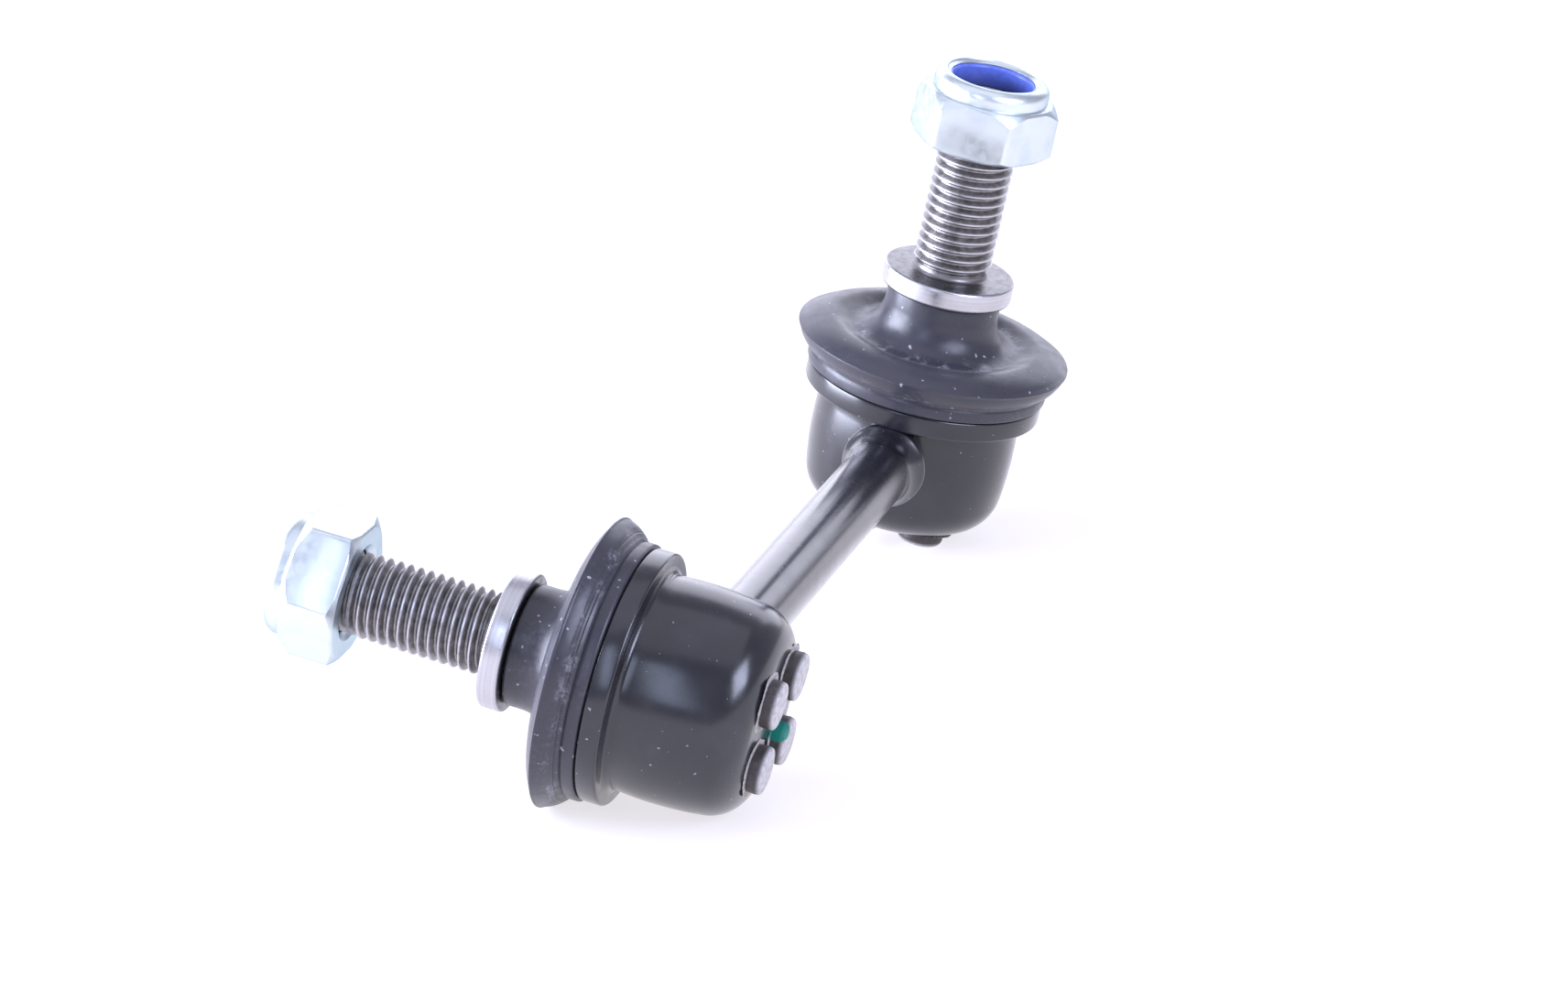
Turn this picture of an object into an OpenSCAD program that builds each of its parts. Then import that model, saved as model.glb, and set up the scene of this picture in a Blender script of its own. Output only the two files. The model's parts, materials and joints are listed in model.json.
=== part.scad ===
// Stabilizer link: a short rod with a ball joint at each end, the two studs at right angles.
// Each joint is drawn about its own stud axis, with height 0 and the ball centre on the rod axis.
// The link then lies on a bench the way it comes to rest: on the front boot, the front housing and
// the rear pegs. Millimetres and degrees.

/* [Link rod] */
// Distance between the two ball centres
centre_distance = 100.5; // [80:0.5:160]
// Diameter of the rod
rod_d = 8.2; // [6:0.1:9]
// How far the upset ring beside each weld stands out of the rod
upset_rise = 1.5; // [0.4:0.1:1.8]
// Width of the upset ring along the rod
upset_w = 3.4; // [2.4:0.1:4]

/* [Ball housing] */
// Thickness of the cup's wall under the flange
housing_wall = 2.4; // [1.6:0.1:3.2]
// Thickness of the cup's floor
floor_t = 1.8; // [1.2:0.1:2.6]
// Draft of the cup's wall in degrees
housing_draft = 1; // [0:0.1:2]
// Radius between the cup's wall and its floor
corner_r = 5; // [4:0.1:6]
// Sweep in degrees of that radius, which leaves a crease where the flat floor starts
corner_sweep = 78; // [65:1:88]
// Height of the flange's underside above the rod axis
flange_z = 5.2; // [5:0.1:6.5]
// Thickness of the flange
flange_t = 2.6; // [1.6:0.1:3.4]
// How far the flange stands out of the cup
flange_w = 2.1; // [1.4:0.1:3]
// Fillet under the flange
flange_fillet = 0.8; // [0.4:0.1:1.2]
// Height of the mouth above the flange
mouth_h = 2.2; // [1.8:0.1:2.6]
// Thickness of the mouth's wall
mouth_t = 1.8; // [1.4:0.1:2.2]

/* [Ball seat] */
// Diameter of the ball
ball_d = 15; // [14:0.1:17]
// Thickness of the seat beside the ball
seat_wall = 3; // [2:0.1:4]
// Thickness of the seat under the ball
seat_floor_t = 1.1; // [0.8:0.05:2.2]
// Height of the seat's rim above the ball centre
seat_top = 6.2; // [5:0.1:7]
// Swing of the stud to each side in degrees
swing_limit = 22; // [12:1:24]
// Number of staked pegs
peg_count = 4; // [3:1:4]
// Diameter of the circle that the pegs stand on
peg_circle_d = 11.9; // [10:0.1:12.4]
// Diameter of each peg in its hole
peg_d = 3.6; // [2.8:0.1:4.4]
// Diameter of a peg's staked head
peg_head_d = 5.8; // [5:0.1:6.4]
// Height of a peg's staked head
peg_head_h = 1.9; // [1.4:0.1:2.6]
// Edge radius of a peg's staked head
peg_head_r = 0.9; // [0.4:0.1:1.2]
// Turn of the front seat's pegs from the rod's line in degrees
front_peg_turn = 41; // [0:1:90]
// Turn of the rear seat's pegs from the rod's line in degrees
rear_peg_turn = 50; // [0:1:90]

/* [Ball stud] */
// Diameter of the neck above the ball
neck_d = 9.6; // [8:0.1:10.4]
// Diameter of the stud inside the boot's neck
boot_seat_d = 11.2; // [10.6:0.1:12]
// Length of that diameter below the collar
boot_seat_len = 4.6; // [3.5:0.1:5]
// Length of the taper from there to the neck
neck_taper_len = 2.6; // [1:0.1:3]
// Height of the collar's underside above the ball centre
collar_z = 19.8; // [19:0.1:23]
// Diameter of the collar
collar_d = 16.6; // [14:0.1:18]
// Thickness of the collar
collar_t = 2.6; // [1.8:0.1:4]
// Chamfer on the collar's edges
collar_chamfer = 0.3; // [0.1:0.1:0.6]
// Length of the shank above the collar
shank_len = 23.1; // [22:0.1:30]
// Outside diameter of the thread
thread_d = 10; // [9.9:0.01:10.1]
// How much smaller the thread is on its lead-in length, where the nut starts
lead_relief = 0.4; // [0.2:0.01:0.5]
// Length of that lead-in
lead_len = 6.6; // [6:0.1:8]
// Diameter of the undercut between collar and thread
undercut_d = 8.9; // [8:0.1:9.4]
// Straight height of the undercut above the fillet at its foot
undercut_h = 0.35; // [0.2:0.05:1.4]
// How far outside the thread that fillet meets the collar
foot_clear = 0.1; // [0.06:0.01:0.4]
// Chamfer at the shank's end
shank_chamfer = 0.8; // [0.4:0.1:1.2]

/* [Dust boot] */
// Thickness of the rubber
boot_wall = 1.5; // [1:0.1:1.8]
// Height of the bead that sits on the flange
bead_h = 2; // [1.6:0.1:2.4]
// How far the bead stands past the flange
bead_over = 0.3; // [0:0.1:0.8]
// How far the widest edge stands past the bead
rim_over = 1.9; // [1:0.1:3]
// Height of the widest edge above the bead
rim_rise = 2.3; // [2:0.1:3.4]
// Height of the crease round the neck above the widest edge
crease_rise = 1.4; // [0.8:0.05:2]
// How far the rolled shoulder bulges between the edge and the crease
shoulder_bulge = 0.8; // [0.4:0.1:1.2]
// How far the underside bulges between the bead and the edge
under_bulge = 0.35; // [0.1:0.05:0.6]
// Width of the hollow flare between crease and neck
flare_w = 3.6; // [2.6:0.1:4]
// Straight length of the boot's neck
boot_neck_len = 1.95; // [1.8:0.05:2.4]
// Thickness of the rubber outside the neck ring
neck_rubber_t = 0.77; // [0.6:0.01:1]
// Radial thickness of the steel ring in the bead
base_ring_t = 1.4; // [0.8:0.1:1.6]
// Height of the steel ring in the bead
base_ring_h = 1.2; // [0.8:0.1:1.4]
// Radial thickness of the ring in the boot's neck
neck_ring_t = 0.8; // [0.5:0.1:1]
// Height of the ring in the boot's neck
neck_ring_h = 1.2; // [0.8:0.1:1.3]

/* [Lock nut] */
// Width of the nut across its flats
nut_af = 16; // [15.5:0.1:17]
// Height of the hexagon
hex_h = 7; // [6:0.1:8]
// Chamfer angle in degrees of the hexagon's corners at the bearing face
hex_chamfer = 30; // [15:1:30]
// Chamfer angle in degrees of the hexagon's corners at the collar
top_chamfer = 50; // [30:1:55]
// Height of the round collar above the hexagon
nut_collar_h = 2.2; // [2:0.1:3]
// Diameter of that collar
nut_collar_d = 14.6; // [14.4:0.1:15.4]
// Radius of the collar's crimped edge
crimp_r = 1.4; // [1:0.1:1.6]
// Thickness of the crimped edge over the insert
crimp_t = 0.5; // [0.4:0.1:0.8]
// Diameter of the crimped opening
crimp_d = 11.5; // [11:0.1:12]
// Outside diameter of the nylon insert
insert_d = 13; // [12.6:0.1:13.2]
// Height of the nylon insert
insert_h = 2.8; // [1.6:0.1:3.4]
// Distance from the stud's collar to the front nut
front_nut_gap = 17.8; // [0.3:0.05:19]
// Distance from the stud's collar to the rear nut
rear_nut_gap = 17.15; // [0.3:0.05:19]
// Turn of the front nut's corners from the rod's line in degrees
front_nut_turn = 0; // [-30:1:30]
// Turn of the rear nut's corners from the rod's line in degrees
rear_nut_turn = 33; // [0:1:60]

/* [Fits] */
// Radial clearance of the ball in its seat
ball_gap = 0.05; // [0.02:0.01:0.1]
// Radial clearance of rings and nuts that turn on the stud or the mouth
running_gap = 0.05; // [0.02:0.01:0.1]
// Clearance round pieces that are pressed, welded or moulded in
bonded_gap = 0.03; // [0.01:0.01:0.08]
// Clearance of the boot from the stud, its collar and the housing
boot_gap = 0.2; // [0.1:0.05:0.4]
// Angle in degrees that the seat's mouth leaves beyond the swing
swing_margin = 2.5; // [1:0.5:4]

/* [Hidden] */
$fn = 96;
arc_steps = 10;
overcut = 1;

// Ball seat and housing, as radii and heights in the joint's own frame
ball_r = ball_d / 2;
socket_r = ball_r + ball_gap;
seat_r = socket_r + seat_wall;
cavity_r = seat_r + bonded_gap;
cup_r = cavity_r + housing_wall;
floor_top = -socket_r - seat_floor_t;
cup_bottom = floor_top - floor_t;
corner_z = cup_bottom + corner_r * sin(corner_sweep);
corner_x = cup_r - (flange_z - corner_z) * tan(housing_draft) - corner_r;
cavity_corner_r = corner_r - floor_t;
flange_r = cup_r + flange_w;
flange_top = flange_z + flange_t;
mouth_top = flange_top + mouth_h;
mouth_r = cavity_r + mouth_t;
rod_seat_r = cup_r - flange_z * tan(housing_draft);
seat_mouth_angle = swing_limit + swing_margin;
peg_head_bottom = cup_bottom - peg_head_h;

// Ball stud
boot_seat_r = boot_seat_d / 2;
boot_seat_z = collar_z - boot_seat_len;
collar_r = collar_d / 2;
collar_top = collar_z + collar_t;
shank_end = collar_top + shank_len;
thread_r = thread_d / 2;
lead_r = thread_r - lead_relief / 2;
lead_z = shank_end - lead_len;
undercut_r = undercut_d / 2;
foot_r = thread_r - undercut_r + foot_clear;
undercut_top = collar_top + foot_r + undercut_h;

// Boot rings and boot
neck_ring_in = boot_seat_r + running_gap;
neck_ring_out = neck_ring_in + neck_ring_t;
boot_top = collar_z - boot_gap;
neck_ring_z = boot_top - (boot_neck_len + neck_ring_h) / 2;
base_ring_in = mouth_r + running_gap;
base_ring_out = base_ring_in + base_ring_t;
bead_z = flange_top + boot_gap;
base_ring_z = bead_z + (bead_h - base_ring_h) / 2;
bead_in = mouth_r + boot_gap;
bead_r = flange_r + bead_over;
bead_round = bead_h / 2;
bead_fold_angle = 30;
fold = [bead_r - bead_round, bead_z + bead_round] + bead_round * [cos(bead_fold_angle), sin(bead_fold_angle)];
rim = [bead_r + rim_over, bead_z + bead_h + rim_rise];
boot_neck_in = boot_seat_r + boot_gap;
boot_neck_out = neck_ring_out + bonded_gap + neck_rubber_t;
crease = [boot_neck_out + flare_w, rim[1] + crease_rise];
flare_h = boot_top - boot_neck_len - crease[1];
flare_centre = crease + [0, flare_h];

// The underside is the arc from the fold to the rim, and the shoulder the arc from the rim to the crease
under_r = bow_radius(fold, rim, under_bulge);
under_centre = bow_centre(fold, rim, under_bulge);
fold_angle = direction(fold - under_centre);
under_end_angle = direction(rim - under_centre);
shoulder_r = bow_radius(rim, crease, shoulder_bulge);
shoulder_centre = bow_centre(rim, crease, shoulder_bulge);
rim_angle = direction(rim - shoulder_centre);
crease_angle = direction(crease - shoulder_centre);
rim_turn_in = 12;
flare_end_angle = 262;
cone = (rim - fold) / norm(rim - fold);
inner_fold = fold + boot_wall * [-cone[1], cone[0]];

// Nut
nut_h = hex_h + nut_collar_h;
nut_corner_r = nut_af / 2 / cos(30);
nut_bore_r = thread_r + running_gap;
nut_collar_r = nut_collar_d / 2;
insert_r = insert_d / 2;
insert_top = nut_h - crimp_t - bonded_gap;
insert_bottom = insert_top - insert_h;
// The crimped edge is rounded no further than the wall round the insert allows
insert_wall = nut_collar_r - insert_r - bonded_gap;
crimp_round = min(crimp_r, insert_wall + crimp_t + sqrt(insert_wall * crimp_t / 2));

// Resting place: the front joint lies on its boot's widest edge and its cup's corner, and the rear
// joint on its lowest peg head, so the link is rolled about the rod and pitched a little
roll_run = rim[1] - corner_z;
roll_rise = rim[0] - corner_x;
rest_roll = atan2(roll_rise, roll_run) - asin(corner_r / norm([roll_run, roll_rise]));
front_rest_h = rim[0] * cos(rest_roll) - rim[1] * sin(rest_roll);
peg_edge_z = -peg_head_bottom - peg_head_r;
lowest_peg = max([for (i = [0:peg_count - 1]) sin(rear_peg_turn + i * 360 / peg_count)]);
peg_edge_x = lowest_peg * peg_circle_d / 2 + peg_head_d / 2 - peg_head_r;
rear_rest_h = peg_edge_z * cos(rest_roll) + peg_edge_x * sin(rest_roll) + peg_head_r;
rest_pitch = asin((rear_rest_h - front_rest_h) / centre_distance);
rest_h = (front_rest_h + rear_rest_h) / 2;
front_tip = collar_top + max(front_nut_gap + nut_h, shank_len);
reach_y = front_tip * cos(rest_roll) + (nut_collar_r - crimp_round) * sin(rest_roll);
reach_back_y = rim[0] * cos(rest_roll) + rim[1] * sin(rest_roll);

function direction(v) = atan2(v[1], v[0]);

// Radius and centre of the arc from a to b that stands out by a bulge, on the right of the way
function bow_radius(a, b, bulge) = (pow(norm(b - a) / 2, 2) + bulge * bulge) / (2 * bulge);
function bow_centre(a, b, bulge) =
    (a + b) / 2 + (bulge - bow_radius(a, b, bulge)) * [b[1] - a[1], a[0] - b[0]] / norm(b - a);

// Points along an arc, or along an ellipse where the two radii differ
function arc(centre, radii, from, to) = [
    for (i = [0:arc_steps])
        let (a = from + (to - from) * i / arc_steps)
            centre + [radii[0] * cos(a), radii[1] * sin(a)]
];

// Places
module resting() {
    translate([0, (reach_back_y - reach_y) / 2, rest_h])
        rotate([0, -rest_pitch, 0])
            rotate([rest_roll, 0, 0])
                children();
}

// Both joints have the rod along their own +x and the stud along their own +z
module at_front() {
    resting()
        translate([-centre_distance / 2, 0, 0])
            rotate([-90, 0, 0])
                children();
}

module at_rear() {
    resting()
        translate([centre_distance / 2, 0, 0])
            rotate([0, 0, 180])
                children();
}

module at_nut(gap, turn) {
    translate([0, 0, collar_top + gap])
        rotate([0, 0, turn])
            children();
}

// Outline of the cup with its flange and mouth, filled, grown outwards by a gap
module cup_outline(grow) {
    fillet_centre = [cup_r + flange_fillet, flange_z - flange_fillet];
    polygon(concat(
        [[0, cup_bottom - grow]],
        arc([corner_x, corner_z], (corner_r + grow) * [1, 1], -corner_sweep, -housing_draft),
        arc(fillet_centre, (flange_fillet - grow) * [1, 1], 180, 90),
        [
            [flange_r + grow, flange_z - grow],
            [flange_r + grow, flange_top],
            [mouth_r + grow, flange_top],
            [mouth_r + grow, mouth_top],
            [0, mouth_top]
        ]
    ));
}

// Hollow of the cup, and the seat that fills it when shrunk by the fit
module cavity_outline(radius, corner, bottom, top) {
    polygon(concat(
        [[0, top], [0, bottom]],
        arc([radius - corner, bottom + corner], corner * [1, 1], -90, 0),
        [[radius, top]]
    ));
}

module peg_places(turn) {
    for (i = [0:peg_count - 1])
        rotate([0, 0, turn + i * 360 / peg_count])
            translate([peg_circle_d / 2, 0, 0])
                children();
}

module housing(peg_turn) {
    difference() {
        rotate_extrude()
            difference() {
                cup_outline(0);
                cavity_outline(cavity_r, cavity_corner_r, floor_top, mouth_top + overcut);
            }
        peg_places(peg_turn)
            translate([0, 0, cup_bottom - overcut])
                cylinder(d = peg_d + 2 * bonded_gap, h = floor_t + 2 * overcut);
    }
}

module staked_peg() {
    translate([0, 0, cup_bottom])
        cylinder(d = peg_d, h = floor_t + seat_floor_t / 2);
    rotate_extrude()
        polygon(concat(
            [[0, cup_bottom], [0, peg_head_bottom]],
            arc([peg_head_d / 2 - peg_head_r, peg_head_bottom + peg_head_r], peg_head_r * [1, 1], -90, 0),
            [[peg_head_d / 2, cup_bottom]]
        ));
}

module ball_seat(peg_turn) {
    mouth_r_low = neck_d / 2 / cos(seat_mouth_angle);
    mouth_len = seat_top + overcut;
    difference() {
        rotate_extrude()
            cavity_outline(seat_r, cavity_corner_r - bonded_gap, floor_top, seat_top);
        sphere(r = socket_r);
        cylinder(r1 = mouth_r_low, r2 = mouth_r_low + mouth_len * tan(seat_mouth_angle), h = mouth_len);
    }
    peg_places(peg_turn) staked_peg();
}

module ball_stud() {
    sphere(r = ball_r);
    rotate_extrude()
        polygon(concat([
            [0, 0],
            [neck_d / 2, 0],
            [neck_d / 2, boot_seat_z - neck_taper_len],
            [boot_seat_r, boot_seat_z],
            [boot_seat_r, collar_z],
            [collar_r - collar_chamfer, collar_z],
            [collar_r, collar_z + collar_chamfer],
            [collar_r, collar_top - collar_chamfer],
            [collar_r - collar_chamfer, collar_top]
        ], arc([undercut_r, collar_top] + foot_r * [1, 1], foot_r * [1, 1], 270, 180), [
            [undercut_r, undercut_top],
            [thread_r, undercut_top + thread_r - undercut_r],
            [thread_r, lead_z],
            [lead_r, lead_z],
            [lead_r, shank_end - shank_chamfer],
            [lead_r - shank_chamfer, shank_end],
            [0, shank_end]
        ]));
}

module dust_boot() {
    inner_r = (shoulder_r - boot_wall) * [1, 1];
    inner_flare = [crease[0] - boot_neck_in, flare_h + boot_wall];
    rotate_extrude()
        difference() {
            polygon(concat(
                [[bead_in, bead_z]],
                arc([bead_r - bead_round, bead_z + bead_round], bead_round * [1, 1], -90, bead_fold_angle),
                arc(under_centre, under_r * [1, 1], fold_angle, under_end_angle),
                arc(shoulder_centre, shoulder_r * [1, 1], rim_angle, crease_angle),
                arc(flare_centre, [flare_w, flare_h], 270, 180),
                [[boot_neck_out, boot_top], [boot_neck_in, boot_top]],
                arc(flare_centre, inner_flare, 180, flare_end_angle),
                arc(shoulder_centre, inner_r, crease_angle, rim_angle + rim_turn_in),
                [inner_fold, [bead_in, bead_z + bead_h]]
            ));
            ring_outline(base_ring_in, base_ring_out, base_ring_z, base_ring_h, bonded_gap);
            ring_outline(neck_ring_in, neck_ring_out, neck_ring_z, neck_ring_h, bonded_gap);
        }
}

module ring_outline(r_in, r_out, z, h, grow) {
    translate([r_in, z - grow])
        square([r_out - r_in + grow, h + 2 * grow]);
}

module boot_base_ring() {
    rotate_extrude()
        ring_outline(base_ring_in, base_ring_out, base_ring_z, base_ring_h, 0);
}

module boot_neck_ring() {
    rotate_extrude()
        ring_outline(neck_ring_in, neck_ring_out, neck_ring_z, neck_ring_h, 0);
}

module lock_nut() {
    corner_out = nut_corner_r - nut_af / 2;
    difference() {
        union() {
            intersection() {
                cylinder(r = nut_corner_r, h = hex_h, $fn = 6);
                rotate_extrude()
                    polygon([
                        [0, 0],
                        [nut_af / 2, 0],
                        [nut_corner_r, corner_out * tan(hex_chamfer)],
                        [nut_corner_r, hex_h - corner_out * tan(top_chamfer)],
                        [nut_af / 2, hex_h],
                        [0, hex_h]
                    ]);
            }
            rotate_extrude()
                polygon(concat(
                    [[0, hex_h / 2], [nut_collar_r, hex_h / 2]],
                    arc([nut_collar_r - crimp_round, nut_h - crimp_round], crimp_round * [1, 1], 0, 90),
                    [[0, nut_h]]
                ));
        }
        translate([0, 0, -overcut])
            cylinder(r = nut_bore_r, h = nut_h + 2 * overcut);
        translate([0, 0, insert_bottom - bonded_gap])
            cylinder(r = insert_r + bonded_gap, h = insert_h + 2 * bonded_gap);
        translate([0, 0, insert_bottom])
            cylinder(d = crimp_d, h = nut_h);
        translate([0, 0, -overcut])
            cylinder(r1 = nut_bore_r + shank_chamfer + overcut, r2 = nut_bore_r, h = shank_chamfer + overcut);
    }
}

module nut_insert() {
    translate([0, 0, insert_bottom])
        difference() {
            cylinder(r = insert_r, h = insert_h);
            translate([0, 0, -overcut])
                cylinder(r = nut_bore_r, h = insert_h + 2 * overcut);
        }
}

module link_rod() {
    ring_x = centre_distance / 2 - rod_seat_r - upset_w / 2;
    ring_r = upset_w / 2;
    color([0.08, 0.08, 0.09])
        difference() {
            resting()
                rotate([0, 90, 0]) {
                    cylinder(d = rod_d, h = centre_distance, center = true);
                    for (side = [-1, 1])
                        translate([0, 0, side * ring_x])
                            rotate_extrude()
                                translate([rod_d / 2 + upset_rise - ring_r, 0])
                                    circle(r = ring_r);
                }
            at_front() rotate_extrude() cup_outline(bonded_gap);
            at_rear() rotate_extrude() cup_outline(bonded_gap);
        }
}

module front_housing() { color([0.1, 0.1, 0.11]) at_front() housing(front_peg_turn); }
module rear_housing() { color([0.1, 0.1, 0.11]) at_rear() housing(rear_peg_turn); }
module front_ball_seat() { color([0.3, 0.28, 0.27]) at_front() ball_seat(front_peg_turn); }
module rear_ball_seat() { color([0.3, 0.28, 0.27]) at_rear() ball_seat(rear_peg_turn); }
module front_ball_stud() { color([0.45, 0.44, 0.43]) at_front() ball_stud(); }
module rear_ball_stud() { color([0.45, 0.44, 0.43]) at_rear() ball_stud(); }
module front_dust_boot() { color([0.15, 0.15, 0.16]) at_front() dust_boot(); }
module rear_dust_boot() { color([0.15, 0.15, 0.16]) at_rear() dust_boot(); }
module front_boot_base_ring() { color([0.6, 0.6, 0.62]) at_front() boot_base_ring(); }
module rear_boot_base_ring() { color([0.6, 0.6, 0.62]) at_rear() boot_base_ring(); }
module front_boot_neck_ring() { color([0.6, 0.6, 0.62]) at_front() boot_neck_ring(); }
module rear_boot_neck_ring() { color([0.6, 0.6, 0.62]) at_rear() boot_neck_ring(); }
module front_lock_nut() {
    color([0.82, 0.86, 0.9]) at_front() at_nut(front_nut_gap, front_nut_turn) lock_nut();
}
module rear_lock_nut() {
    color([0.82, 0.86, 0.9]) at_rear() at_nut(rear_nut_gap, rear_nut_turn) lock_nut();
}
module front_nut_insert() { color([0.1, 0.2, 0.7]) at_front() at_nut(front_nut_gap, 0) nut_insert(); }
module rear_nut_insert() { color([0.1, 0.2, 0.7]) at_rear() at_nut(rear_nut_gap, 0) nut_insert(); }

link_rod();
front_housing();
rear_housing();
front_ball_seat();
rear_ball_seat();
front_ball_stud();
rear_ball_stud();
front_dust_boot();
rear_dust_boot();
front_boot_base_ring();
rear_boot_base_ring();
front_boot_neck_ring();
rear_boot_neck_ring();
front_lock_nut();
rear_lock_nut();
front_nut_insert();
rear_nut_insert();
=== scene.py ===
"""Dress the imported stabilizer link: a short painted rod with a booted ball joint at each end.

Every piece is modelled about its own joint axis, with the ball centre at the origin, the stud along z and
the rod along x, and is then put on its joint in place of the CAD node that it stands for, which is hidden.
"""

import json
from math import atan2, cos, pi, radians, sin, tan

import bpy
from bpy.props import FloatProperty, FloatVectorProperty, IntProperty, PointerProperty
from mathutils import Euler, Matrix, Vector


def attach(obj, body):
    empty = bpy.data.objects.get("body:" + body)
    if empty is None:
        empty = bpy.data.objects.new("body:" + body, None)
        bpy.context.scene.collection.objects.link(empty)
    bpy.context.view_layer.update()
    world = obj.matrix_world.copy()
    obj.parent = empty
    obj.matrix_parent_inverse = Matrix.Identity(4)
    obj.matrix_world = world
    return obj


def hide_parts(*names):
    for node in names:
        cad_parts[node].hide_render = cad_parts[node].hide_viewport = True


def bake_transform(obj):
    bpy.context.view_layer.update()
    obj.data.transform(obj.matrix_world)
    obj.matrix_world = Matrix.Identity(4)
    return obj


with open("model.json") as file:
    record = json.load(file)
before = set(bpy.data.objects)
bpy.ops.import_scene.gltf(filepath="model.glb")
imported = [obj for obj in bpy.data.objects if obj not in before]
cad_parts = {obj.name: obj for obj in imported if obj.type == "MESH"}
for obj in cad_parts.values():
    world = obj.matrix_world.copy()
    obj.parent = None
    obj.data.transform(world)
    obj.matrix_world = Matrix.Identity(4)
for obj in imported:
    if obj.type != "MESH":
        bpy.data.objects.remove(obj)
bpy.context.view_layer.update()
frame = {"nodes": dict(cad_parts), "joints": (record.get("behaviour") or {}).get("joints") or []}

bl_info = {
    "name": "Stabilizer link",
    "version": (1, 0, 0),
    "blender": (4, 5, 0),
    "location": "View3D > Sidebar > Link",
    "description": "Models the pieces of a stabilizer link with two ball joints on its packed CAD frame",
    "category": "Object",
}

MM = 0.001
SIDES = ("front", "rear")
JOINTS = {joint["name"]: joint for joint in frame["joints"]}
# Middle of the green inspection mark, in millimetres in the front joint's own axes
FRONT_MARK = (2.4, 1.9, -11.2)
# Points of the boot's underside that lie in a groove, each with its share of the groove's depth
BOOT_GROOVES = ((3, 0.6), (4, 1.0), (7, 0.5), (9, 0.35))


def joint_place(side):
    """Matrix of a ball joint, from its ball centre, the way to the other joint and its stud's axis."""
    other = SIDES[1 - SIDES.index(side)]
    here, there = (Vector(JOINTS[name + "_swing_direction"]["pos_m"]) for name in (side, other))
    stud = Vector(JOINTS[side + "_swing_direction"]["axis"]).normalized()
    rod = there - here
    rod = (rod - rod.dot(stud) * stud).normalized()
    place = Matrix((rod, stud.cross(rod), stud)).transposed().to_4x4()
    place.translation = here
    return place


PLACES = {side: joint_place(side) for side in SIDES}
CENTRE_DISTANCE = (PLACES["rear"].translation - PLACES["front"].translation).length


def rod_place():
    """Matrix of the rod, from its middle, with z along the rod from the front to the rear joint."""
    front, rear = (PLACES[side].translation for side in SIDES)
    along = (rear - front).normalized()
    up = PLACES["rear"].col[2].to_3d()
    across = up.cross(along).normalized()
    place = Matrix((along.cross(across), across, along)).transposed().to_4x4()
    place.translation = (front + rear) / 2
    return place


def link_axes():
    """Matrix of the whole link, from the rear ball centre: x along the rod, z along the rear stud."""
    rear = PLACES["rear"]
    axes = Matrix((-rear.col[0].to_3d(), -rear.col[1].to_3d(), rear.col[2].to_3d())).transposed().to_4x4()
    axes.translation = rear.translation
    return axes


def length(label, millimetres, description):
    return FloatProperty(name=label, description=description, default=millimetres * MM,
                         precision=5, subtype="DISTANCE", unit="LENGTH")


def angle(label, degrees, description):
    return FloatProperty(name=label, description=description, default=radians(degrees), subtype="ANGLE",
                         unit="ROTATION")


def colour(label, rgb, description):
    return FloatVectorProperty(name=label, description=description, default=rgb, size=3, min=0.0, max=1.0,
                               subtype="COLOR")


def strength(label, value, description):
    return FloatProperty(name=label, description=description, default=value, min=0.0)


def power(label, watts, description):
    return FloatProperty(name=label, description=description, default=watts, min=0.0, unit="POWER")


class RodSizes(bpy.types.PropertyGroup):
    radius: length("Rod radius", 4.1, "Radius of the round bar")
    upset_rise: length("Upset rise", 1.5, "How far the swelling beside each weld stands out of the bar")
    upset_width: length("Upset width", 3.4, "Width of the swelling along the bar")
    upset_slope: angle("Upset slope", 40.0, "Steepest slope of the swelling's face towards the bar")
    upset_blend: length("Upset blend", 4.6, "Radius that blends the swelling into the bar")
    upset_edge: length("Upset edge", 0.92, "Rounding of the swelling's crown")
    waist_rise: length("Waist rise", 0.6, "How far the waist between swelling and cup stands out of the bar")
    waist_blend: length("Waist blend", 0.782, "Radius that blends the swelling into that waist")
    weld_gap: length("Weld gap", 0.03, "Gap between the rod's end and the cup that it is welded to")


class HousingSizes(bpy.types.PropertyGroup):
    cup_radius: length("Cup radius", 12.98, "Outside radius of the cup under its flange")
    cup_bottom: length("Cup bottom", -10.45, "Height of the cup's underside")
    floor: length("Floor", 1.8, "Thickness of the cup's floor")
    draft: angle("Draft", 1.0, "Draft of the cup's wall")
    barrel: length("Barrel", 0.32, "How far the middle of the cup's wall stands out of its ends")
    corner: length("Corner", 5.0, "Radius between the cup's wall and its floor")
    corner_sweep: angle("Corner sweep", 78.0, "Sweep of that radius, which leaves a crease at the floor")
    flange_radius: length("Flange radius", 15.08, "Radius of the flange")
    flange_z: length("Flange height", 5.2, "Height of the flange's underside")
    flange_t: length("Flange thickness", 2.6, "Thickness of the flange")
    flange_fillet: length("Flange fillet", 0.8, "Fillet under the flange")
    edge: length("Edge", 0.35, "Rounding of the flange's edges")
    mouth_radius: length("Mouth radius", 12.38, "Outside radius of the mouth that the boot grips")
    mouth_top: length("Mouth top", 10.0, "Height of the mouth's rim")
    cavity_radius: length("Cavity radius", 10.58, "Inside radius of the cup")


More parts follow.
